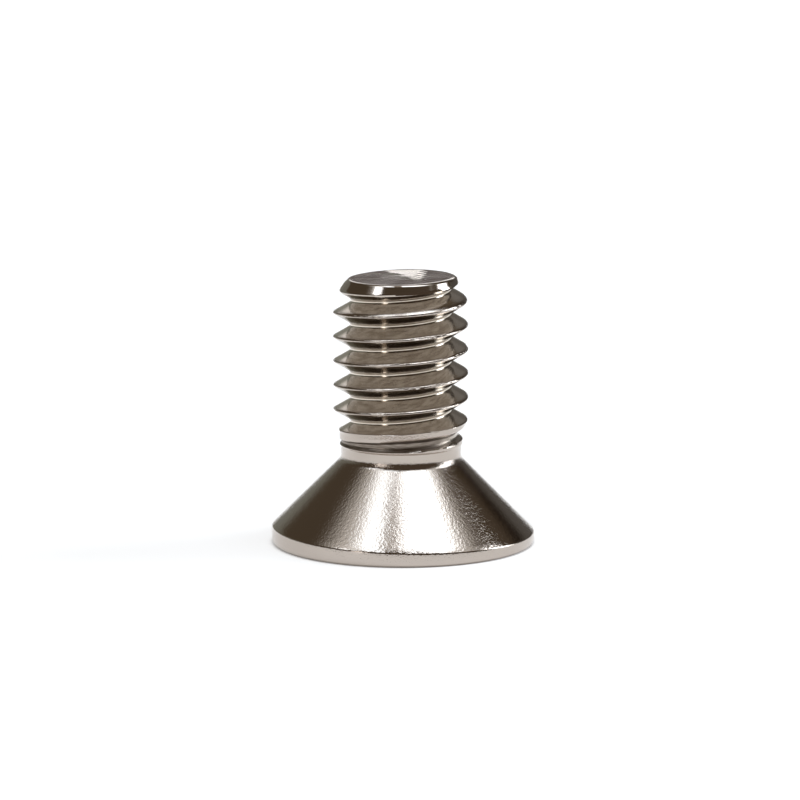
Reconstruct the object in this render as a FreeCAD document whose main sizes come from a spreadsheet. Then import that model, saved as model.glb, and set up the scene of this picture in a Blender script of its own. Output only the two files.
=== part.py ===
import FreeCAD, Part
import math
import os
import Sketcher
from FreeCAD import Vector

# Countersunk machine screw, M4 x 0.7, stainless steel, with a cross recess.
# It stands on the flat of its head, thread up: +Z runs from the head face to the tip.
# It is headed, recessed and thread-rolled from one blank, so it is one solid.
# -Y is the side that faces the viewer and +X is on the viewer's right.

NODE = "countersunk_screw"

# Driving sizes, in millimetres and degrees
SIZES = [
    ("overall_length", 7.71, "head face to tip face"),
    ("head_diameter", 7.55, "over the rim"),
    ("rim_land", 0.41, "height of the rim, up to where cone and rim would meet in a sharp corner"),
    ("rim_edge_radius", 0.11, "rounded edge between head face and rim"),
    ("rim_corner_radius", 0.07, "rounded corner between rim and cone"),
    ("cone_angle", 90.0, "included angle of the countersunk cone"),
    ("neck_step", 0.185, "crest down to the bare blank between cone and thread"),
    ("neck_fillet", 0.3, "fillet between cone and neck"),
    ("neck_length", 0.335, "cone to the start of the swell"),
    ("shoulder_step", 0.135, "crest down to the blank where the rolling dies leave it"),
    ("shoulder_swell", 0.08, "height over which the neck swells to the shoulder"),
    ("shoulder_length", 0.35, "height of the shoulder"),
    ("crest_diameter", 3.81, "over the full crests"),
    ("crest_start", 0.02, "mouth of the lowest full groove to where the crests have risen to full height"),
    ("crest_fall", 1.0, "height over which the crests fall towards the tip"),
    ("thread_pitch", 0.7, "coarse pitch"),
    ("thread_angle", 60.0, "included angle of the groove"),
    ("thread_depth", 0.462, "crest to root"),
    ("root_width", 0.105, "floor of the groove"),
    ("groove_start", 0.725, "cone to the lowest full groove on the +X side"),
    ("runout_turns", 0.95, "turns over which the groove fades out towards the head"),
    ("runout_pitch", 0.48, "pitch of the groove where it fades out"),
    ("point_step", 0.145, "full crest down to the crest at the foot of the tip chamfer"),
    ("point_height", 0.35, "height of the tip chamfer"),
    ("point_width", 0.26, "width of the tip chamfer, across"),
    ("recess_diameter", 4.4, "over the wings of the recess, at the head face"),
    ("recess_floor_diameter", 2.3, "over the wings, where their ends meet their floors"),
    ("recess_depth", 2.05, "head face to the ends of the wing floors"),
    ("recess_point_angle", 140.0, "included angle of the conical floor"),
    ("wing_width", 1.02, "wing of the recess, at the head face"),
    ("wing_floor_width", 0.74, "wing of the recess, at its floor"),
    ("wing_corner", 0.26, "rounded corner between two wings"),
    ("cut_overrun", 0.04, "how far a cutting form reaches past the face that it opens"),
]

os.makedirs("parts", exist_ok=True)
doc = FreeCAD.newDocument("countersunk_machine_screw")

# Spreadsheet of the sizes
sheet = doc.addObject("Spreadsheet::Sheet", "Sizes")
for row, (alias, number, meaning) in enumerate(SIZES, start=1):
    sheet.set(f"A{row}", alias)
    sheet.set(f"B{row}", str(number))
    sheet.setAlias(f"B{row}", alias)
    sheet.set(f"C{row}", meaning)
doc.recompute()

# Places worked out from the sizes, as expressions
HEAD_R = "Sizes.head_diameter / 2"
CREST_R = "Sizes.crest_diameter / 2"
NECK_R = f"({CREST_R} - Sizes.neck_step)"
SHOULDER_R = f"({CREST_R} - Sizes.shoulder_step)"
POINT_R = f"({CREST_R} - Sizes.point_step)"
CONE_HALF = "Sizes.cone_angle / 2"
CONE_TOP = f"(Sizes.rim_land + ({HEAD_R} - {NECK_R}) / tan({CONE_HALF}))"
FILLET_REACH = f"Sizes.neck_fillet * tan({CONE_HALF} / 2)"
CORNER_REACH = f"Sizes.rim_corner_radius * tan({CONE_HALF} / 2)"
SWELL_Z = f"({CONE_TOP} + Sizes.neck_length)"
SHOULDER_Z = f"({SWELL_Z} + Sizes.shoulder_swell)"
RISE_Z = f"({SHOULDER_Z} + Sizes.shoulder_length)"
ROOT_R = f"({CREST_R} - Sizes.thread_depth)"
ROOT_HALF = "Sizes.root_width / 2"
GROOVE_Z = f"({CONE_TOP} + Sizes.groove_start)"
GROOVE_REACH = "(Sizes.thread_depth + Sizes.cut_overrun)"
MOUTH_HALF = f"({ROOT_HALF} + {GROOVE_REACH} * tan(Sizes.thread_angle / 2))"
FULL_Z = f"({GROOVE_Z} + {MOUTH_HALF} + Sizes.crest_start)"
LENGTH = "Sizes.overall_length"


def number(expression):
    """What an expression of the sheet's sizes comes to."""
    result = sheet.evalExpression(expression)
    return float(getattr(result, "Value", result))


def plane_of(body, role):
    """One of the body's own origin planes or axes."""
    return next(item for item in body.Origin.OriginFeatures if item.Role == role)


def bind(sketch, name, kind, places, expression):
    """Adds one dimension to a sketch and ties it to the sheet."""
    index = sketch.addConstraint(Sketcher.Constraint(kind, *places, number(expression)))
    sketch.renameConstraint(index, name)
    sketch.setExpression(f"Constraints.{name}", expression)


def draw_outline(sketch, corners, arcs):
    """A closed outline. Edge i runs from corner i to the next, straight unless arcs has a centre and radius."""
    points = [Vector(number(across), number(along), 0) for across, along in corners]
    starts = []
    ends = []
    for i, start in enumerate(points):
        end = points[(i + 1) % len(points)]
        if i not in arcs:
            sketch.addGeometry(Part.LineSegment(start, end))
            starts.append(1)
            ends.append(2)
            continue
        middle_x, middle_y, radius = arcs[i]
        centre = Vector(number(middle_x), number(middle_y), 0)
        turns_left = (start - centre).cross(end - centre).z > 0
        first, last = (start, end) if turns_left else (end, start)
        from_angle = math.atan2(first.y - centre.y, first.x - centre.x)
        to_angle = math.atan2(last.y - centre.y, last.x - centre.x)
        circle = Part.Circle(centre, Vector(0, 0, 1), number(radius))
        sketch.addGeometry(Part.ArcOfCircle(circle, from_angle, to_angle))
        starts.append(1 if turns_left else 2)
        ends.append(2 if turns_left else 1)
    for i, (across, along) in enumerate(corners):
        before = (i - 1) % len(corners)
        sketch.addConstraint(Sketcher.Constraint("Coincident", before, ends[before], i, starts[i]))
        bind(sketch, f"across_{i}", "DistanceX", (-1, 1, i, starts[i]), across)
        bind(sketch, f"along_{i}", "DistanceY", (-1, 1, i, starts[i]), along)
    for i, (_, _, radius) in arcs.items():
        bind(sketch, f"radius_{i}", "Radius", (i,), radius)


def new_sketch(body, name, role):
    """An empty sketch on one of the body's own planes."""
    sketch = body.newObject("Sketcher::SketchObject", name)
    sketch.AttachmentSupport = [(plane_of(body, role), "")]
    sketch.MapMode = "FlatFace"
    return sketch


def revolve(body, name, sketch):
    """A full turn of the sketch about Z."""
    turned = body.newObject("PartDesign::Revolution", name)
    turned.Profile = sketch
    turned.ReferenceAxis = (plane_of(body, "Z_Axis"), [""])
    turned.Angle = 360
    return turned


# Screw: the blank with its head, neck and crests, turned about Z
screw = doc.addObject("PartDesign::Body", "Screw")
blank_outline = new_sketch(screw, "BlankOutline", "XZ_Plane")
draw_outline(
    blank_outline,
    [
        ("0", "0"),
        (f"{HEAD_R} - Sizes.rim_edge_radius", "0"),
        (HEAD_R, "Sizes.rim_edge_radius"),
        (HEAD_R, f"Sizes.rim_land - {CORNER_REACH}"),
        (
            f"{HEAD_R} - {CORNER_REACH} * sin({CONE_HALF})",
            f"Sizes.rim_land + {CORNER_REACH} * cos({CONE_HALF})",
        ),
        (
            f"{NECK_R} + {FILLET_REACH} * sin({CONE_HALF})",
            f"{CONE_TOP} - {FILLET_REACH} * cos({CONE_HALF})",
        ),
        (NECK_R, f"{CONE_TOP} + {FILLET_REACH}"),
        (NECK_R, SWELL_Z),
        (SHOULDER_R, SHOULDER_Z),
        (SHOULDER_R, RISE_Z),
        (CREST_R, FULL_Z),
        (CREST_R, f"{LENGTH} - Sizes.crest_fall"),
        (POINT_R, f"{LENGTH} - Sizes.point_height"),
        (f"{POINT_R} - Sizes.point_width", LENGTH),
        ("0", LENGTH),
    ],
    {
        1: (f"{HEAD_R} - Sizes.rim_edge_radius", "Sizes.rim_edge_radius", "Sizes.rim_edge_radius"),
        3: (
            f"{HEAD_R} - Sizes.rim_corner_radius",
            f"Sizes.rim_land - {CORNER_REACH}",
            "Sizes.rim_corner_radius",
        ),
        5: (f"{NECK_R} + Sizes.neck_fillet", f"{CONE_TOP} + {FILLET_REACH}", "Sizes.neck_fillet"),
    },
)
blank = revolve(screw, "Blank", blank_outline)

# Thread: one V groove with a narrow floor, wound up past the tip
groove_section = new_sketch(screw, "GrooveSection", "XZ_Plane")
draw_outline(
    groove_section,
    [
        (ROOT_R, f"{GROOVE_Z} - {ROOT_HALF}"),
        (f"{ROOT_R} + {GROOVE_REACH}", f"{GROOVE_Z} - {MOUTH_HALF}"),
        (f"{ROOT_R} + {GROOVE_REACH}", f"{GROOVE_Z} + {MOUTH_HALF}"),
        (ROOT_R, f"{GROOVE_Z} + {ROOT_HALF}"),
    ],
    {},
)


def wind_groove(name, pitch, rise, cone, downward):
    """Cuts the groove section along a right-handed helix about Z. A cone angle carries it outwards as it goes."""
    helix = screw.newObject("PartDesign::SubtractiveHelix", name)
    helix.Profile = groove_section
    helix.ReferenceAxis = (plane_of(screw, "Z_Axis"), [""])
    helix.Mode = "pitch-height-angle"
    helix.setExpression("Pitch", pitch)
    helix.setExpression("Height", rise)
    helix.setExpression("Angle", cone)
    helix.Reversed = downward
    return helix


THREAD_RISE = f"{LENGTH} - {GROOVE_Z} + Sizes.thread_pitch"
thread = wind_groove("Thread", "Sizes.thread_pitch", THREAD_RISE, "0", False)

# Run-out: the same groove carries on towards the head, wound closer, and leaves the metal on a cone
RUNOUT_RISE = "(Sizes.runout_turns * Sizes.runout_pitch)"
RUNOUT_CONE = f"atan({GROOVE_REACH} / {RUNOUT_RISE})"
runout = wind_groove("Runout", "Sizes.runout_pitch", RUNOUT_RISE, RUNOUT_CONE, True)

# Recess punch: a cross whose wings narrow with depth, within a cone that has a flatter conical point
WING_SIDES = 4
RECESS_R = "Sizes.recess_diameter / 2"
FLOOR_R = "Sizes.recess_floor_diameter / 2"
POINT_Z = f"(Sizes.recess_depth + {FLOOR_R} / tan(Sizes.recess_point_angle / 2))"
WING_SLOPE = "((Sizes.wing_width - Sizes.wing_floor_width) / 2 / Sizes.recess_depth)"
END_SLOPE = f"(({RECESS_R} - {FLOOR_R}) / Sizes.recess_depth)"
MOUTH_HALF_WING = f"(Sizes.wing_width / 2 + Sizes.cut_overrun * {WING_SLOPE})"
POINT_HALF_WING = f"(Sizes.wing_width / 2 - {POINT_Z} * {WING_SLOPE})"
REACH = f"({RECESS_R} + Sizes.cut_overrun * (1 + {END_SLOPE}))"

punch_cone = doc.addObject("PartDesign::Body", "PunchCone")
cone_outline = new_sketch(punch_cone, "ConeOutline", "XZ_Plane")
draw_outline(
    cone_outline,
    [
        ("0", "-Sizes.cut_overrun"),
        (f"{RECESS_R} + Sizes.cut_overrun * {END_SLOPE}", "-Sizes.cut_overrun"),
        (FLOOR_R, "Sizes.recess_depth"),
        ("0", POINT_Z),
    ],
    {},
)
revolve(punch_cone, "Cone", cone_outline)

punch_cross = doc.addObject("PartDesign::Body", "PunchCross")


def cross_section(name, half_wing, height):
    """A cross of four square-ended wings with rounded inner corners, at its own height."""
    corners = []
    arcs = {}
    inner = f"({half_wing} + Sizes.wing_corner)"
    for side in range(WING_SIDES):
        across = ("1", "0", "-1", "0")[side]
        along = ("0", "1", "0", "-1")[side]

        def turned(out, left, across=across, along=along):
            return (f"({out}) * {across} - ({left}) * {along}", f"({out}) * {along} + ({left}) * {across}")

        corners.append(turned(REACH, f"-{half_wing}"))
        corners.append(turned(REACH, half_wing))
        corners.append(turned(inner, half_wing))
        arcs[len(corners) - 1] = (*turned(inner, inner), "Sizes.wing_corner")
        corners.append(turned(half_wing, inner))
    sketch = new_sketch(punch_cross, name, "XY_Plane")
    sketch.setExpression("AttachmentOffset.Base.z", height)
    draw_outline(sketch, corners, arcs)
    return sketch


cross = punch_cross.newObject("PartDesign::AdditiveLoft", "Cross")
mouth_section = cross_section("MouthSection", MOUTH_HALF_WING, "-Sizes.cut_overrun")
point_section = cross_section("PointSection", POINT_HALF_WING, POINT_Z)
cross.Profile = mouth_section
cross.Sections = [(point_section, [""])]
cross.Ruled = True

punch = doc.addObject("Part::Common", "Punch")
punch.Base = punch_cross
punch.Tool = punch_cone

# The finished screw
finished = doc.addObject("Part::Cut", "Finished")
finished.Base = screw
finished.Tool = punch
finished.Label = NODE
doc.recompute()

# Every object is sound, and every cut has taken metal away, before anything is written
LEAST_CUT = 0.0002
for item in doc.Objects:
    failed = [word for word in item.State if word in ("Invalid", "Error")]
    if failed:
        raise RuntimeError(f"{item.Label} is {failed}")
steps = [blank, thread, runout, finished]
for before, after in zip(steps, steps[1:]):
    if after.Shape.Volume > before.Shape.Volume * (1 - LEAST_CUT):
        raise RuntimeError(f"{after.Label} cut nothing")
solid = finished.Shape
if solid.isNull() or not solid.isValid() or len(solid.Solids) != 1:
    raise RuntimeError(f"{NODE} is not one sound solid")
print("volumes", [round(step.Shape.Volume, 3) for step in steps])
solid.exportStep(f"parts/{finished.Label}.step")
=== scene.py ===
import math

import bpy
import numpy as np
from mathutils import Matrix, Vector


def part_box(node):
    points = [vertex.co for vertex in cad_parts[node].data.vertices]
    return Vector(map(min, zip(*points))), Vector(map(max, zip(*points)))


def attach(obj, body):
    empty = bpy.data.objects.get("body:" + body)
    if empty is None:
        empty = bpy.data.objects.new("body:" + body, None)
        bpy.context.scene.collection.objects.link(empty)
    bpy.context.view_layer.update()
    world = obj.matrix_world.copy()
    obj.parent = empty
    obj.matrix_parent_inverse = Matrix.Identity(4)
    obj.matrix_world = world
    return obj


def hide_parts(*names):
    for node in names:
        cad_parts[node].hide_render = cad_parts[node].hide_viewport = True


# Countersunk machine screw, standing on its head on a pale floor.
# Sizes and places are in millimetres and turn into metres where a mesh or an object is made.
# -Y faces the photograph's camera, +X is on its right, +Z runs from the head face to the tip.

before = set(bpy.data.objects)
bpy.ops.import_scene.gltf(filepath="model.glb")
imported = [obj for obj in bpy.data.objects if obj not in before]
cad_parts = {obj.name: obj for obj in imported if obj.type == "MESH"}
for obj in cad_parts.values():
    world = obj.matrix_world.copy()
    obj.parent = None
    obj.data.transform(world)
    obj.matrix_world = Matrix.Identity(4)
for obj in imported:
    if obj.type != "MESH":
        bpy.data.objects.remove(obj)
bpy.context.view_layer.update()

MM = 0.001
NODE = "countersunk_screw"
low_corner, high_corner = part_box(NODE)

# Driving sizes, as in the part's source
HEAD_R = (high_corner[0] - low_corner[0]) / 2 / MM
LENGTH = high_corner[2] / MM
RIM_LAND = 0.41
RIM_EDGE_R = 0.11
RIM_CORNER_R = 0.07
CONE_HALF = math.radians(45)
CREST_R = 1.905
NECK_R = CREST_R - 0.185
SHOULDER_R = CREST_R - 0.135
POINT_R = CREST_R - 0.145
TIP_R = POINT_R - 0.23
NECK_FILLET_R = 0.3
CONE_TOP = RIM_LAND + (HEAD_R - NECK_R) / math.tan(CONE_HALF)
SWELL_Z = CONE_TOP + 0.335
SHOULDER_Z = SWELL_Z + 0.08
RISE_Z = SHOULDER_Z + 0.35
FALL_Z = LENGTH - 1.0
POINT_Z = LENGTH - 0.35
PITCH = 0.7
THREAD_HALF = math.radians(30)
THREAD_DEPTH = 0.462
ROOT_WIDTH = 0.105
CREST_SAG = 0.03
ROOT_R = CREST_R - THREAD_DEPTH
GROOVE_Z = CONE_TOP + 0.725
MOUTH_HALF = ROOT_WIDTH / 2 + (THREAD_DEPTH + 0.04) * math.tan(THREAD_HALF)
FULL_Z = GROOVE_Z + MOUTH_HALF + 0.02
RUNOUT_PITCH = 0.48
RECESS_R = 2.2
RECESS_FLOOR_R = 1.15
RECESS_DEPTH = 2.05
RECESS_POINT_HALF = math.radians(70)
WING_HALF = 0.51
WING_FLOOR_HALF = 0.37
WING_CORNER_R = 0.26

# How far the real screw's parts are out of true, across and along the view, by height
AXIS_Z = (RIM_LAND, CONE_TOP, GROOVE_Z, 6.6, 7.1, LENGTH)
AXIS_X = (-0.086, -0.055, -0.058, -0.075, -0.05, -0.035)
AXIS_Y = (0.0, 0.04, 0.05, 0.05, 0.05, 0.05)

# The groove's run-out, by turns from where its pitch changes:
# how far its floor has climbed, and half the floor's width
RUNOUT_TURNS = (-0.95, -0.5, -0.25, 0.0, 0.2)
RUNOUT_CLIMB = (THREAD_DEPTH + 0.04, 0.26, 0.20, 0.15, 0.0)
RUNOUT_FLOOR = (0.05, 0.05, 0.11, 0.08, ROOT_WIDTH / 2)

TURN = 2 * math.pi

# Mesh density
COLUMNS = 288
GRID_TURNS = 7
EDGE_STEPS = 4
CORNER_STEPS = 3
CONE_RINGS = 15
FILLET_STEPS = 8
RECESS_STEPS = 6
WING_END_POINTS = 7
WING_SIDE_POINTS = 6
WING_CORNER_POINTS = 8
SHARP_ANGLE = math.radians(40)


def make_mesh(name, points, faces, **values):
    """A smooth mesh object from points in millimetres.

    Each of the values is a list with one number per point, kept as an attribute under its name.
    """
    mesh = bpy.data.meshes.new(name)
    mesh.from_pydata([tuple(p * MM for p in point) for point in points], [], faces)
    for label, numbers in values.items():
        mesh.attributes.new(label, "FLOAT", "POINT").data.foreach_set("value", numbers)
    mesh.validate()
    mesh.shade_smooth()
    mesh.set_sharp_from_angle(angle=SHARP_ANGLE)
    piece = bpy.data.objects.new(name, mesh)
    bpy.context.scene.collection.objects.link(piece)
    return piece


# Camera

CAMERA_DISTANCE = 150.0
CAMERA_ELEVATION = math.radians(10.3)
LOOK_AT = Vector((-0.086, 0.0, 4.122))
PIXELS_PER_MM = 34.88
FRAME_PIXELS = 800
SENSOR_WIDTH = 36.0
CAMERA_NEAR = 1.0
CAMERA_FAR = 10000.0


def make_camera():
    """The photograph's view: from the front, a little above."""
    data = bpy.data.cameras.new("camera")
    data.sensor_width = SENSOR_WIDTH
    data.lens = PIXELS_PER_MM * CAMERA_DISTANCE / FRAME_PIXELS * SENSOR_WIDTH
    data.clip_start = CAMERA_NEAR * MM
    data.clip_end = CAMERA_FAR * MM
    camera = bpy.data.objects.new("camera", data)
    back = Vector((0, -math.cos(CAMERA_ELEVATION), math.sin(CAMERA_ELEVATION)))
    camera.location = (LOOK_AT + back * CAMERA_DISTANCE) * MM
    camera.rotation_euler = (math.pi / 2 - CAMERA_ELEVATION, 0, 0)
    bpy.context.scene.collection.objects.link(camera)
    bpy.context.scene.camera = camera


make_camera()


# The screw's form

# Rounding of the corners that the driving sizes leave sharp
CREST_ROUNDING = 0.10
CREST_LIFT = 0.06
RUNOUT_ROUNDING = 0.015
ROOT_ROUNDING = 0.045
ENVELOPE_SOFTENING = 0.025
TIP_ROUNDING = 0.045

# How far below the first full crest the rolled crests start, the height over which they grow,
# and the height below the chamfer over which they fade
CREST_START = 0.1
CREST_GROWTH = 0.35
CREST_END = 0.25

# Turns of the groove, the last ones beyond the tip
GROOVE_TURNS = range(-2, 8)

# The part of the run-out that looks duller and streaked: half its height, its least depth,
# and the turns at which it ends and over which it fades
DULL_HALF = 0.26
DULL_DEPTH = 0.02
DULL_END = 0.06
DULL_FADE = 0.2

# Depth below the crests at which the groove's rougher look and its painted light and shade start, and how
# much deeper they are full
GROOVE_EDGE = 0.01
GROOVE_INNER = 0.06

# Unevenness of the crests and the seam in them
CREST_BAND = 0.07
CREST_UNEVEN = 0.005
FINE_SHARE = 0.6
SEAM_DEPTH = 0.03
SEAM_HALF = 0.013
SEAM_SWAY = 0.012

# Length of each unevenness along the crest, and where it starts in the random numbers
UNEVEN_STEP, UNEVEN_START = 0.23, 100
FINE_STEP, FINE_START = 0.11, 900
SEAM_STEP, SEAM_START = 0.7, 1700
BREAK_STEP, BREAK_START = 0.09, 2500
SWAY_STEP, SWAY_START = 0.3, 3100

# The tip: the change of its chamfer on the right, the lean of its end face and the dent in it
TIP_UNEVEN = 0.035
UNEVEN_BELOW_POINT = 0.2
UNEVEN_SPREAD = 0.7
TIP_TILT = 0.02
LEAN_START_X = 1.2
DENT_BACK_Y = 1.4
DENT_SLOPE = 0.026
DENT_LEFT, DENT_LEFT_SLANT, DENT_LEFT_SOFT = 0.86, 0.62, 0.24
DENT_RIGHT, DENT_RIGHT_SLANT, DENT_RIGHT_SOFT = 0.78, 0.17, 0.2

# Rings of the end face's rounded edge: each ring's share of the radius,
# and the share of the rounding's height by which it lies below the face
END_EDGE = ((0.977, 0.30), (0.958, 0.08), (0.94, 0.0))
END_SHARES = np.linspace(0.9, 0.045, 20)
# Where the rings shrink to a point, from the end face's centre
END_POLE = (-0.55, -0.25)


def axis_at(z):
    """Centre of the screw's section at a height."""
    return np.interp(z, AXIS_Z, AXIS_X), np.interp(z, AXIS_Z, AXIS_Y)


def envelope(z):
    """Radius over the crests at a height, with its corners softened."""
    heights = (CONE_TOP, SWELL_Z, SHOULDER_Z, RISE_Z, FULL_Z, FALL_Z, POINT_Z, LENGTH)
    radii = (NECK_R, NECK_R, SHOULDER_R, SHOULDER_R, CREST_R, CREST_R, POINT_R, TIP_R)
    steps = np.linspace(-ENVELOPE_SOFTENING, ENVELOPE_SOFTENING, 7)
    return np.mean([np.interp(z + step, heights, radii) for step in steps], axis=0)


def crest_share(z):
    """1 where the crests are rolled to their full form, 0 below the thread."""
    return np.clip((z - FULL_Z + CREST_START) / CREST_GROWTH, 0, 1)


def runout_share(angle, z, depth):
    """1 in the shallow groove that fades out towards the head, 0 away from it."""
    along = angle / TURN - 1
    near = np.abs(z - GROOVE_Z - RUNOUT_PITCH * along) < DULL_HALF
    return near * np.clip(depth / DULL_DEPTH, 0, 1) * np.clip((DULL_END - along) / DULL_FADE, 0, 1)


def soft_least(first, second, reach):
    """The smaller of two values, rounded where they cross."""
    mix = np.clip(0.5 + 0.5 * (second - first) / reach, 0, 1)
    return second * (1 - mix) + first * mix - reach * mix * (1 - mix)


# Repeatable random numbers for the uneven crests and their seam
WANDER_COUNT = 4096
WANDER = np.random.default_rng(7).uniform(-1, 1, WANDER_COUNT)


def wander(place, start):
    """A smooth random value from -1 to 1 at places along a line, with a new value at each whole number."""
    return np.interp((place + start) % (WANDER_COUNT - 1), np.arange(WANDER_COUNT), WANDER)


def crest_wear(angle, z):
    """How far the crests stand below their true radius: they are uneven and have a seam from rolling."""
    turns = (z - GROOVE_Z) / PITCH - angle / TURN
    off_centre = (turns - np.floor(turns) - 0.5) * PITCH
    place = (np.floor(turns) + angle / TURN) * TURN * CREST_R
    near = np.exp(-((off_centre / CREST_BAND) ** 2))
    fine = FINE_SHARE * wander(place / FINE_STEP, FINE_START)
    uneven = CREST_UNEVEN * (wander(place / UNEVEN_STEP, UNEVEN_START) + fine)
    # The seam comes and goes, and is broken where it is there
    seam = SEAM_DEPTH * np.clip(wander(place / SEAM_STEP, SEAM_START) + 0.15, 0, 1)
    seam = seam * np.clip(wander(place / BREAK_STEP, BREAK_START) + 0.6, 0, 1)
    seam_centre = SEAM_SWAY * wander(place / SWAY_STEP, SWAY_START)
    return near * uneven + seam * np.exp(-(((off_centre - seam_centre) / SEAM_HALF) ** 2))


def shank_radius(angle, z):
    """Radius of the threaded shank. The groove is a V with a narrow floor and fades out at the head."""
    rolled = crest_share(z) * np.clip((POINT_Z - z) / CREST_END, 0, 1)
    radius = envelope(z) + CREST_LIFT * rolled
    for turn in GROOVE_TURNS:
        along = angle / TURN + turn
        centre = GROOVE_Z + (PITCH if along > 0 else RUNOUT_PITCH) * along
        climb = float(np.interp(along, RUNOUT_TURNS, RUNOUT_CLIMB))
        floor = float(np.interp(along, RUNOUT_TURNS, RUNOUT_FLOOR))
        slope = (np.maximum(z - centre + CREST_SAG, centre - z) - floor) / math.tan(THREAD_HALF)
        wall = 0.5 * (slope + np.sqrt(slope**2 + ROOT_ROUNDING**2))
        reach = RUNOUT_ROUNDING + (CREST_ROUNDING - RUNOUT_ROUNDING) * crest_share(z)
        radius = soft_least(radius, ROOT_R + climb + wall, reach)
    radius = radius - crest_wear(angle, z) * rolled
    # The chamfer is smaller on the right
    side = (angle + math.pi) % TURN - math.pi
    change = np.interp(z, (POINT_Z - UNEVEN_BELOW_POINT, POINT_Z, LENGTH), (0, -TIP_UNEVEN, TIP_UNEVEN))
    return radius + change * math.exp(-((side / UNEVEN_SPREAD) ** 2))


def tip_drop(x, y):
    """How far the end face lies below the full length: it leans to the left and has a shallow dent."""
    lean = TIP_TILT * np.clip(LEAN_START_X - x, 0, None)
    # The dent is widest at the back edge, narrows towards the front and has wavy sides
    from_back = DENT_BACK_Y - y
    left_side = x + DENT_LEFT - DENT_LEFT_SLANT * from_back
    left_side = left_side + 0.05 * np.sin(9 * y) + 0.03 * np.sin(23 * y + 1)
    right_side = DENT_RIGHT - DENT_RIGHT_SLANT * from_back - x + 0.04 * np.sin(17 * y)
    dent = np.clip(left_side / DENT_LEFT_SOFT, 0, 1) * np.clip(right_side / DENT_RIGHT_SOFT, 0, 1)
    return lean + dent * DENT_SLOPE * np.clip(from_back, 0, None)


# Heights of the grid's rows within one pitch, from the groove's centre: close together at the corners
FLANK_REACH = THREAD_DEPTH * math.tan(THREAD_HALF)
ROOT_EDGE = ROOT_WIDTH / 2
CREST_EDGE = ROOT_EDGE + FLANK_REACH
HALF_ROWS = (
    0.0,
    ROOT_EDGE * 0.5,
    ROOT_EDGE * 0.9,
    ROOT_EDGE * 1.3,
    ROOT_EDGE * 1.9,
    ROOT_EDGE + FLANK_REACH * 0.3,
    ROOT_EDGE + FLANK_REACH * 0.52,
    CREST_EDGE - 0.075,
    CREST_EDGE - 0.045,
    CREST_EDGE - 0.025,
    CREST_EDGE - 0.010,
    CREST_EDGE + 0.004,
    CREST_EDGE + 0.015,
    CREST_EDGE + 0.023,
    PITCH / 2,
)
PHASES = [row / PITCH for row in HALF_ROWS] + [1 - row / PITCH for row in HALF_ROWS[-2:0:-1]]
ROWS_PER_TURN = len(PHASES)


def shank_rows():
    """Heights of the shank's grid, as turns above its foot. The first turn and the last one are wedges."""
    foot = LENGTH - GRID_TURNS * PITCH
    shift = ((foot - GROOVE_Z) / PITCH) % 1
    phases = sorted((phase - shift) % 1 for phase in PHASES)
    phases = [0.0 if phase < 1e-6 else phase for phase in phases]
    return foot, phases


def add_quads(faces, lower, upper):
    """Joins two rings of the same count with quads, the outside to the right of the way up."""
    count = len(lower)
    for i in range(count):
        j = (i + 1) % count
        faces.append((lower[i], lower[j], upper[j], upper[i]))


def head_rings(angles):
    """Rings from the head face's edge over the rim, the cone and the fillet to the neck."""
    rings = []
    cos, sin = np.cos(angles), np.sin(angles)
    for step in range(EDGE_STEPS + 1):
        turn = math.pi / 2 * step / EDGE_STEPS
        radius = HEAD_R - RIM_EDGE_R * (1 - math.sin(turn))
        height = RIM_EDGE_R * (1 - math.cos(turn))
        rings.append((radius * cos, radius * sin, np.full_like(angles, height)))
    # The cone is a little off the rim's centre, so the rim is higher on one side
    rim_top = RIM_LAND + AXIS_X[0] * cos + AXIS_Y[0] * sin
    reach = RIM_CORNER_R * math.tan(CONE_HALF / 2)
    for share in (0.35, 0.7):
        height = RIM_EDGE_R + (rim_top - reach - RIM_EDGE_R) * share
        rings.append((HEAD_R * cos, HEAD_R * sin, height))
    for step in range(CORNER_STEPS + 1):
        turn = CONE_HALF * step / CORNER_STEPS
        inset = RIM_CORNER_R * (1 - math.cos(turn))
        height = rim_top - reach + RIM_CORNER_R * math.sin(turn)
        rings.append(((HEAD_R - inset) * cos, (HEAD_R - inset) * sin, height))
    fillet_reach = NECK_FILLET_R * math.tan(CONE_HALF / 2)
    cone_end = CONE_TOP - fillet_reach * math.cos(CONE_HALF)
    cone_start = rim_top + reach * math.cos(CONE_HALF)
    for share in np.linspace(0, 1, CONE_RINGS + 1)[1:]:
        height = cone_start + (cone_end - cone_start) * share
        radius = NECK_R + (CONE_TOP - height) * math.tan(CONE_HALF)
        across, along = axis_at(height)
        rings.append((across + radius * cos, along + radius * sin, height))
    for step in range(1, FILLET_STEPS + 1):
        turn = CONE_HALF * (1 - step / FILLET_STEPS)
        height = np.full_like(angles, CONE_TOP + fillet_reach - NECK_FILLET_R * math.sin(turn))
        radius = NECK_R + NECK_FILLET_R * (1 - math.cos(turn))
        across, along = axis_at(height)
        rings.append((across + radius * cos, along + radius * sin, height))
    return rings


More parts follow.
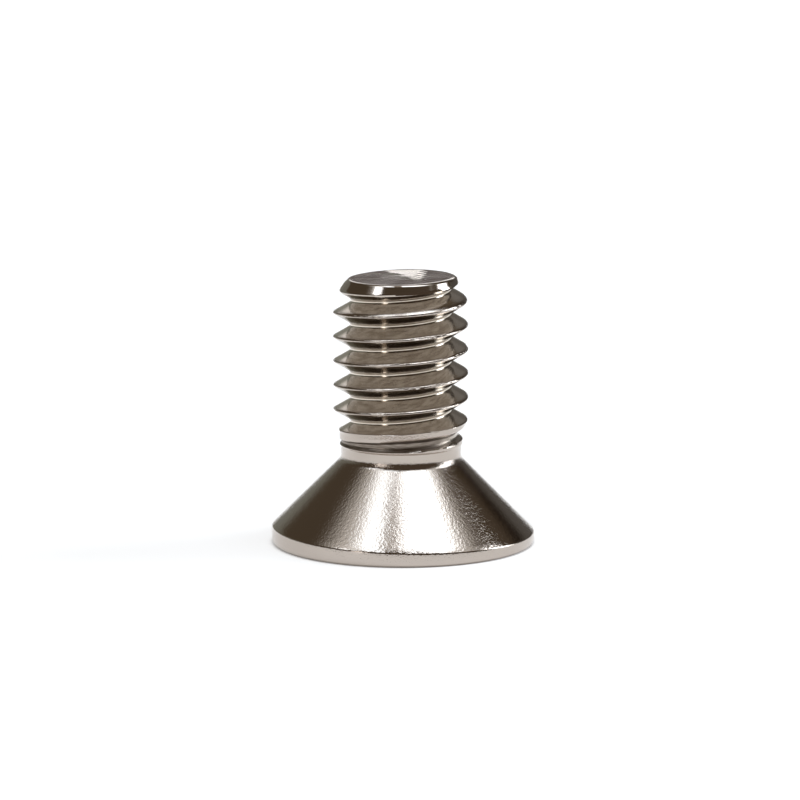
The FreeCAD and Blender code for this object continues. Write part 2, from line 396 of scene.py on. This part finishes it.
def recess_outline(height):
    """A cross with rounded inner corners and curved ends, as points in order of their angle."""
    half = WING_HALF - (WING_HALF - WING_FLOOR_HALF) * height / RECESS_DEPTH
    end = RECESS_R - (RECESS_R - RECESS_FLOOR_R) * height / RECESS_DEPTH
    corner = half + WING_CORNER_R
    spread = math.asin(half / end)
    wing_x = end * math.cos(spread)
    bearings = np.linspace(-spread, spread, WING_END_POINTS)
    points = [(end * math.cos(a), end * math.sin(a)) for a in bearings]
    points += [(x, half) for x in np.linspace(wing_x, corner, WING_SIDE_POINTS)[1:]]
    for a in np.radians(np.linspace(270, 180, WING_CORNER_POINTS))[1:]:
        points.append((corner + WING_CORNER_R * math.cos(a), corner + WING_CORNER_R * math.sin(a)))
    points += [(half, y) for y in np.linspace(corner, wing_x, WING_SIDE_POINTS)[1:-1]]
    turned = []
    for side in range(4):
        cos, sin = math.cos(side * math.pi / 2), math.sin(side * math.pi / 2)
        turned += [(x * cos - y * sin, x * sin + y * cos) for x, y in points]
    return turned


def recess_rings():
    """Rings of the cross recess from its mouth to its conical floor."""
    point_z = RECESS_DEPTH + RECESS_FLOOR_R / math.tan(RECESS_POINT_HALF)
    mouth = recess_outline(0)
    count = len(mouth)
    floor_z = [RECESS_DEPTH] * count
    # The floor's height at the leaning walls settles in a few rounds
    for _ in range(6):
        outlines = [recess_outline(z)[i] for i, z in enumerate(floor_z)]
        floor_z = [point_z - math.hypot(x, y) / math.tan(RECESS_POINT_HALF) for x, y in outlines]
    rings = []
    for share in np.linspace(0, 1, RECESS_STEPS + 1):
        rings.append([(*recess_outline(z * share)[i], z * share) for i, z in enumerate(floor_z)])
    edge = rings[-1]
    for share in (0.75, 0.5, 0.25):
        rings.append([(x * share, y * share, point_z - (point_z - z) * share) for x, y, z in edge])
    return rings, (0.0, 0.0, point_z)


def zip_rings(faces, points, inner, outer):
    """Fills the flat band between two rings that both go round the centre once."""
    def angle(index):
        return math.atan2(points[index][1], points[index][0]) % TURN

    inner = sorted(inner, key=angle)
    outer = sorted(outer, key=angle)
    i = j = 0
    while i < len(inner) or j < len(outer):
        next_inner = angle(inner[(i + 1) % len(inner)]) + (TURN if i + 1 >= len(inner) else 0)
        next_outer = angle(outer[(j + 1) % len(outer)]) + (TURN if j + 1 >= len(outer) else 0)
        a, b = inner[i % len(inner)], outer[j % len(outer)]
        if j >= len(outer) or (i < len(inner) and next_inner < next_outer):
            faces.append((a, inner[(i + 1) % len(inner)], b))
            i += 1
        else:
            faces.append((a, outer[(j + 1) % len(outer)], b))
            j += 1


def make_screw():
    """The screw as one closed mesh."""
    points = []
    faces = []

    def add_ring(across, along, height):
        first = len(points)
        points.extend(zip(across.tolist(), along.tolist(), height.tolist()))
        return list(range(first, len(points)))

    angles = np.arange(COLUMNS) / COLUMNS * TURN
    rings = [add_ring(*ring) for ring in head_rings(angles)]
    foot, phases = shank_rows()

    # The shank's grid leans with the thread, so its rows run along the crests and roots
    rows = GRID_TURNS + 1
    levels = np.array([turn + phase for turn in range(rows) for phase in phases] + [rows])
    total = len(levels)
    columns = []
    for angle in angles:
        share = angle / TURN
        height = levels - 1 + share
        height = np.where(levels < 1, levels * share, height)
        height = np.where(levels > rows - 1, GRID_TURNS - (rows - levels) * (1 - share), height)
        z = foot + height * PITCH
        near_tip = np.clip((z - POINT_Z) / (LENGTH - POINT_Z), 0, 1)
        drop = float(tip_drop(TIP_R * math.cos(angle), TIP_R * math.sin(angle)))
        z = z - near_tip * (drop + TIP_ROUNDING)
        radius = shank_radius(angle, z)
        across, along = axis_at(z)
        depth = envelope(z) - radius
        x, y = across + radius * math.cos(angle), along + radius * math.sin(angle)
        groove = np.clip((depth - GROOVE_EDGE) / GROOVE_INNER, 0, 1)
        columns.append((x, y, z, groove, runout_share(angle, z, depth)))
    index = []
    grooves = [0.0] * len(points)
    runouts = [0.0] * len(points)
    for i, (across, along, z, groove, runout) in enumerate(columns):
        first = len(points)
        skip = ROWS_PER_TURN if i == 0 else 0
        points.extend(zip(across[skip:].tolist(), along[skip:].tolist(), z[skip:].tolist()))
        grooves.extend(groove[skip:].tolist())
        runouts.extend(runout[skip:].tolist())
        index.append([max(first, first + row - skip) for row in range(total)])
    for i in range(COLUMNS):
        here = index[i]
        if i + 1 < COLUMNS:
            there = index[i + 1]
        else:
            there = [index[0][min(row + ROWS_PER_TURN, total - 1)] for row in range(total)]
        for row in range(total - 1):
            corners = [here[row], there[row], there[row + 1], here[row + 1]]
            corners = [c for k, c in enumerate(corners) if c != corners[k - 1]]
            if len(corners) > 2:
                faces.append(tuple(corners))
    rings.append([index[i][0] for i in range(COLUMNS)])
    for lower, upper in zip(rings, rings[1:]):
        add_quads(faces, lower, upper)

    # End face: a rounded edge, then rings that shrink to a point away from the dent
    edge = [index[i][total - 1] for i in range(COLUMNS)]
    centre_x, centre_y = (float(value) for value in axis_at(LENGTH))
    inner = edge
    for share, low in [*END_EDGE, *((share, 0.0) for share in END_SHARES)]:
        ring = []
        for i in edge:
            x = centre_x + (points[i][0] - centre_x) * share + END_POLE[0] * (1 - share)
            y = centre_y + (points[i][1] - centre_y) * share + END_POLE[1] * (1 - share)
            points.append((x, y, LENGTH - float(tip_drop(x, y)) - TIP_ROUNDING * low))
            ring.append(len(points) - 1)
        add_quads(faces, inner, ring)
        inner = ring
    x, y = centre_x + END_POLE[0], centre_y + END_POLE[1]
    points.append((x, y, LENGTH - float(tip_drop(x, y))))
    for i in range(COLUMNS):
        faces.append((inner[i], inner[(i + 1) % COLUMNS], len(points) - 1))

    # Head face and recess, seen from below
    recess, recess_point = recess_rings()
    recess_indices = []
    for ring in recess:
        first = len(points)
        points.extend(ring)
        recess_indices.append(list(range(first, len(points))))
    points.append(recess_point)
    for outer, inner in zip(recess_indices, recess_indices[1:]):
        add_quads(faces, inner, outer)
    last = recess_indices[-1]
    for i in range(len(last)):
        faces.append((last[(i + 1) % len(last)], last[i], len(points) - 1))
    zip_rings(faces, points, recess_indices[0], rings[0])
    rest = [0.0] * (len(points) - len(grooves))
    return make_mesh("screw", points, faces, groove=grooves + rest, runout=runouts + rest)


screw = make_screw()
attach(screw, "root")
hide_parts(NODE)


# Node trees

class Tree:
    """A few shorthands for building one node tree."""

    def __init__(self, owner):
        owner.use_nodes = True
        self.nodes = owner.node_tree.nodes
        self.links = owner.node_tree.links

    def add(self, kind, inputs=(), **settings):
        """A node with its settings. Inputs are sockets to link, numbers or None."""
        node = self.nodes.new(kind)
        for name, value in settings.items():
            setattr(node, name, value)
        for socket, value in zip(node.inputs, inputs):
            self.feed(socket, value)
        return node

    def feed(self, socket, value):
        if isinstance(value, bpy.types.NodeSocket):
            self.links.new(value, socket)
        elif value is not None:
            socket.default_value = value

    def math(self, operation, first, second=None, third=None):
        return self.add("ShaderNodeMath", (first, second, third), operation=operation).outputs[0]

    def product(self, *factors):
        result = factors[0]
        for factor in factors[1:]:
            result = self.math("MULTIPLY", result, factor)
        return result

    def ramp(self, value, start, end, low=0.0, high=1.0):
        """Smooth change from low to high while the value goes from start to end."""
        inputs = (value, start, end, low, high)
        return self.add("ShaderNodeMapRange", inputs, interpolation_type="SMOOTHSTEP").outputs[0]

    def noise(self, vector, scale, detail, roughness):
        """Noise from 0 to 1 at a place."""
        return self.add("ShaderNodeTexNoise", (vector, None, scale, detail, roughness)).outputs[0]

    def between(self, value, low, high, low_soft, high_soft):
        """1 between two values and 0 outside them, with a soft edge at each."""
        rise = self.ramp(value, low - low_soft, low + low_soft)
        fall = self.ramp(value, high - high_soft, high + high_soft, 1.0, 0.0)
        return self.math("MULTIPLY", rise, fall)

    def blend(self, share, first, second):
        """Mixes two colours."""
        node = self.add("ShaderNodeMix", data_type="RGBA", clamp_factor=True)
        for place, value in ((0, share), (6, first), (7, second)):
            self.feed(node.inputs[place], value)
        return node.outputs[2]


# Steel

STEEL = (0.485, 0.43, 0.385, 1)
# Painted light and shade for the thread's flanks: paler where they face up, darker where they face down,
# and darker still in random streaks
LIT_UPPER_FLANK = (0.72, 0.655, 0.575, 1)
SHADED_LOWER_FLANK = (0.275, 0.24, 0.205, 1)
SHADED_FLANK_STREAK = (0.185, 0.155, 0.125, 1)
RUNOUT_STEEL = (0.33, 0.285, 0.245, 1)
RUNOUT_STREAK = (0.18, 0.15, 0.125, 1)

# Grain: noise scales, and heights in millimetres
MOTTLE_SCALE = 42.0
MOTTLE_RISE = 0.42
MOTTLE_HEIGHT = 0.0068
MOTTLE_LEAST_R = 0.5
BLOTCH_SCALE = 900.0
GRAIN_SCALE = 20000.0
ROLLED_SCALE = (2500.0, 2500.0, 30000.0)
GRAIN_HEIGHT = 0.0018
# Share of the grain's height that is left in the groove and at the tip
GROOVE_GRAIN = 0.15
TIP_GRAIN = 0.12

ROUGHNESS = (0.05, 0.11)
GROOVE_ROUGHNESS = 0.06
RUNOUT_ROUGHNESS = 0.22


def steel():
    """Bright stainless steel with a mottled grain, rougher in the thread, with painted light and shade on
    the thread's flanks.
    """
    material = bpy.data.materials.new("stainless_steel")
    tree = Tree(material)
    shader = tree.nodes["Principled BSDF"]
    place = tree.add("ShaderNodeTexCoord").outputs["Object"]
    x, y, z = tree.add("ShaderNodeSeparateXYZ", (place,)).outputs
    radius = tree.math("SQRT", tree.math("ADD", tree.math("MULTIPLY", x, x), tree.math("MULTIPLY", y, y)))
    reach = tree.math("MAXIMUM", radius, MOTTLE_LEAST_R * MM)
    # Places round the axis at a fixed radius, so that the grain is even up the cone
    around = tree.add("ShaderNodeCombineXYZ", (
        tree.math("DIVIDE", x, reach),
        tree.math("DIVIDE", y, reach),
        tree.math("MULTIPLY", z, MOTTLE_RISE / MM),
    )).outputs[0]
    groove = tree.add("ShaderNodeAttribute", attribute_name="groove").outputs["Fac"]
    runout = tree.add("ShaderNodeAttribute", attribute_name="runout").outputs["Fac"]

    mottle = tree.noise(around, MOTTLE_SCALE, 3.0, 0.6)
    blotch = tree.noise(place, BLOTCH_SCALE, 2.0, 0.5)
    grain = tree.noise(place, GRAIN_SCALE, 2.0, 0.5)
    spread = tree.add("ShaderNodeVectorMath", (place, ROLLED_SCALE), operation="MULTIPLY").outputs[0]
    rolled = tree.noise(spread, 1.0, 2.0, 0.5)

    # Painted light and shade on the thread's flanks: a paler colour where they face up, a darker one where
    # they face down, with random darker streaks in the painted shade
    facing = tree.add("ShaderNodeNewGeometry").outputs["True Normal"]
    facing_down_shade = tree.ramp(tree.add("ShaderNodeSeparateXYZ", (facing,)).outputs[2], -0.3, -0.7)
    streak = tree.ramp(rolled, 0.35, 0.65)
    flanks = tree.blend(facing_down_shade, LIT_UPPER_FLANK, tree.blend(streak, SHADED_LOWER_FLANK, SHADED_FLANK_STREAK))
    fading = tree.blend(streak, RUNOUT_STEEL, RUNOUT_STREAK)
    tree.feed(shader.inputs["Base Color"], tree.blend(runout, tree.blend(groove, STEEL, flanks), fading))
    shader.inputs["Metallic"].default_value = 1.0
    rough = tree.ramp(blotch, 0.3, 0.7, *ROUGHNESS)
    rough = tree.math("MULTIPLY_ADD", groove, GROOVE_ROUGHNESS, rough)
    tree.feed(shader.inputs["Roughness"], tree.math("MULTIPLY_ADD", runout, RUNOUT_ROUGHNESS, rough))

    below_tip = tree.ramp(z, (POINT_Z - 0.15) * MM, (POINT_Z + 0.05) * MM, 1.0, TIP_GRAIN)
    smooth_metal = tree.math("SUBTRACT", 1.0, groove)
    out_of_groove = tree.math("MULTIPLY_ADD", smooth_metal, 1 - GROOVE_GRAIN, GROOVE_GRAIN)
    bump = tree.add("ShaderNodeBump", (1.0, MOTTLE_HEIGHT * MM))
    tree.feed(bump.inputs["Height"], tree.product(mottle, out_of_groove, below_tip))
    fine = tree.add("ShaderNodeBump", (1.0, GRAIN_HEIGHT * MM))
    tree.feed(fine.inputs["Height"], tree.math("MULTIPLY", tree.blend(groove, grain, rolled), below_tip))
    tree.feed(fine.inputs["Normal"], bump.outputs[0])
    tree.feed(shader.inputs["Normal"], fine.outputs[0])
    return material


screw.data.materials.append(steel())


# Floor and surroundings

FLOOR_LEFT_RIGHT = 300.0
FLOOR_FRONT = 45.0
FLOOR_BACK = 300.0
FLOOR_COLOUR = (0.8, 0.8, 0.8, 1)
FLOOR_ROUGHNESS = 0.9
FLOOR_GLOW = 0.54


def make_floor():
    """A plain white floor. Its front edge is near, so that the thread's lower flanks look past it."""
    corners = [
        (-FLOOR_LEFT_RIGHT, -FLOOR_FRONT, 0),
        (FLOOR_LEFT_RIGHT, -FLOOR_FRONT, 0),
        (FLOOR_LEFT_RIGHT, FLOOR_BACK, 0),
        (-FLOOR_LEFT_RIGHT, FLOOR_BACK, 0),
    ]
    floor = make_mesh("floor", corners, [(0, 1, 2, 3)])
    material = bpy.data.materials.new("floor")
    tree = Tree(material)
    shader = tree.nodes["Principled BSDF"]
    shader.inputs["Base Color"].default_value = FLOOR_COLOUR
    shader.inputs["Roughness"].default_value = FLOOR_ROUGHNESS
    shader.inputs["Specular IOR Level"].default_value = 0.0
    shader.inputs["Emission Color"].default_value = (1, 1, 1, 1)
    # Painted contact shadow: the floor's own glow fades out at the screw's foot, so that the contact stays
    # dark
    place = tree.add("ShaderNodeTexCoord").outputs["Object"]
    from_axis = tree.add("ShaderNodeVectorMath", (place,), operation="LENGTH").outputs["Value"]
    floor_glow_with_painted_contact_shadow = tree.ramp(from_axis, (HEAD_R - 0.15) * MM, (HEAD_R + 0.08) * MM, 0.0, FLOOR_GLOW)
    tree.feed(shader.inputs["Emission Strength"], floor_glow_with_painted_contact_shadow)
    floor.data.materials.append(material)


# Lights, and the parts of the dark walls, by where they are
LIGHT = (3.6, 3.9, 4.2, 1)
LEFT_LIGHT = (2.9, 3.2, 3.5, 1)
SIDE_LIGHT = (5.2, 5.5, 5.8, 1)
STRIP_LIGHT = (3.6, 3.5, 3.4, 1)
GLOW = (1.1, 1.1, 1.08, 1)
PANEL_GAP = (0.62, 0.58, 0.54, 1)
DARK = (0.098, 0.076, 0.052, 1)
FRONT = (0.10, 0.075, 0.055, 1)
LOW_BACK = (0.235, 0.235, 0.205, 1)
LOW_BACK_RIGHT = (0.12, 0.11, 0.10, 1)
RIGHT_GAP = (0.016, 0.010, 0.006, 1)
BACK_WHITE = (2.1, 2.1, 2.1, 1)
BACK_LEFT = (0.82, 0.80, 0.80, 1)
BACK_RIGHT = (0.17, 0.16, 0.15, 1)
BACK_GREY = (0.165, 0.145, 0.14, 1)


def make_world():
    """The studio round the screw, by direction: dark walls with paler parts, panels and a lamp overhead,
    a panel on the right and a narrow strip on the left."""
    world = bpy.data.worlds.new("studio")
    bpy.context.scene.world = world
    tree = Tree(world)
    tree.nodes.clear()
    direction = tree.add("ShaderNodeTexCoord").outputs["Generated"]
    x, y, z = tree.add("ShaderNodeSeparateXYZ", (direction,)).outputs
    rise = tree.math("MAXIMUM", z, 0.02)
    side_slope = tree.math("DIVIDE", x, rise)
    back_slope = tree.math("DIVIDE", y, rise)
    height = tree.math("DEGREES", tree.math("ARCSINE", z))
    # 0 towards the camera, 90 on the right, 180 at the back
    bearing = tree.math("DEGREES", tree.math("ARCTAN2", x, tree.math("MULTIPLY", y, -1.0)))
    off_front = tree.math("ABSOLUTE", bearing)

    def patch(under, colour, *masks):
        return tree.blend(tree.product(*masks), under, colour)

    def up(*edges):
        return tree.between(height, *edges)

    def around(*edges):
        return tree.between(bearing, *edges)

    def sideways(*edges):
        return tree.between(side_slope, *edges)

    def backward(*edges):
        return tree.between(back_slope, *edges)

    # Walls
    below = tree.ramp(height, 44, 58, 1.0, 0.0)
    low = tree.ramp(height, 17.5, 20.5, 1.0, 0.0)
    colour = patch(DARK, FRONT, tree.ramp(off_front, 55, 75, 1.0, 0.0), below)
    colour = patch(colour, LOW_BACK, low, tree.ramp(off_front, 80, 110))
    colour = patch(colour, LOW_BACK_RIGHT, low, around(118, 174, 6, 4))
    colour = patch(colour, RIGHT_GAP, up(20, 29, 1, 3), around(125, 150, 8, 3))
    # The dent in the end face mirrors the white part at the back, and the rest of the face the grey one
    colour = patch(colour, BACK_WHITE, up(11.7, 17.5, 0.35, 1), tree.ramp(off_front, 168, 174))
    colour = patch(colour, BACK_LEFT, up(19, 36, 2, 3), around(-171, -153, 2, 2))
    colour = patch(colour, BACK_RIGHT, up(19, 36, 2, 3), around(153, 174, 2, 2))
    colour = patch(colour, BACK_GREY, up(6, 11.2, 1, 0.3), tree.ramp(off_front, 173, 176))
    # Panels overhead, their edges as sideways and backward slopes
    fade = tree.ramp(back_slope, -0.05, 0.42, 1.0, 0.0)
    front_edge = tree.ramp(back_slope, -0.31, -0.27)
    colour = patch(colour, PANEL_GAP, sideways(-0.18, 0.0, 0.01, 0.01), backward(-0.29, 0.1, 0.02, 0.08))
    colour = patch(colour, GLOW, sideways(0.0, 0.86, 0.008, 0.36), front_edge, fade)
    colour = patch(colour, LIGHT, sideways(0.0, 0.535, 0.008, 0.045), front_edge, fade)
    left_depth = backward(-0.33, 0.12, 0.02, 0.26)
    colour = patch(colour, GLOW, sideways(-0.84, -0.18, 0.30, 0.012), left_depth)
    colour = patch(colour, LEFT_LIGHT, sideways(-0.40, -0.18, 0.05, 0.012), left_depth)
    # Small lamp in front, seen in the tip's chamfer
    colour = patch(colour, LIGHT, sideways(-0.86, -0.60, 0.03, 0.03), backward(-0.46, -0.15, 0.03, 0.03))
    # Panel on the right, and a narrow strip on the left
    colour = patch(colour, SIDE_LIGHT, around(92, 112, 3, 3), up(3, 43, 2, 2))
    colour = patch(colour, STRIP_LIGHT, around(-43, -36, 1.5, 1.5), up(-12, 32, 2, 6))

    studio = tree.add("ShaderNodeBackground", (colour,))
    seen = tree.add("ShaderNodeBackground", ((1, 1, 1, 1),))
    path = tree.add("ShaderNodeLightPath").outputs["Is Camera Ray"]
    mix = tree.add("ShaderNodeMixShader", (path, studio.outputs[0], seen.outputs[0]))
    tree.add("ShaderNodeOutputWorld", (mix.outputs[0],))


make_floor()
make_world()

bpy.context.scene.view_settings.view_transform = "Standard"
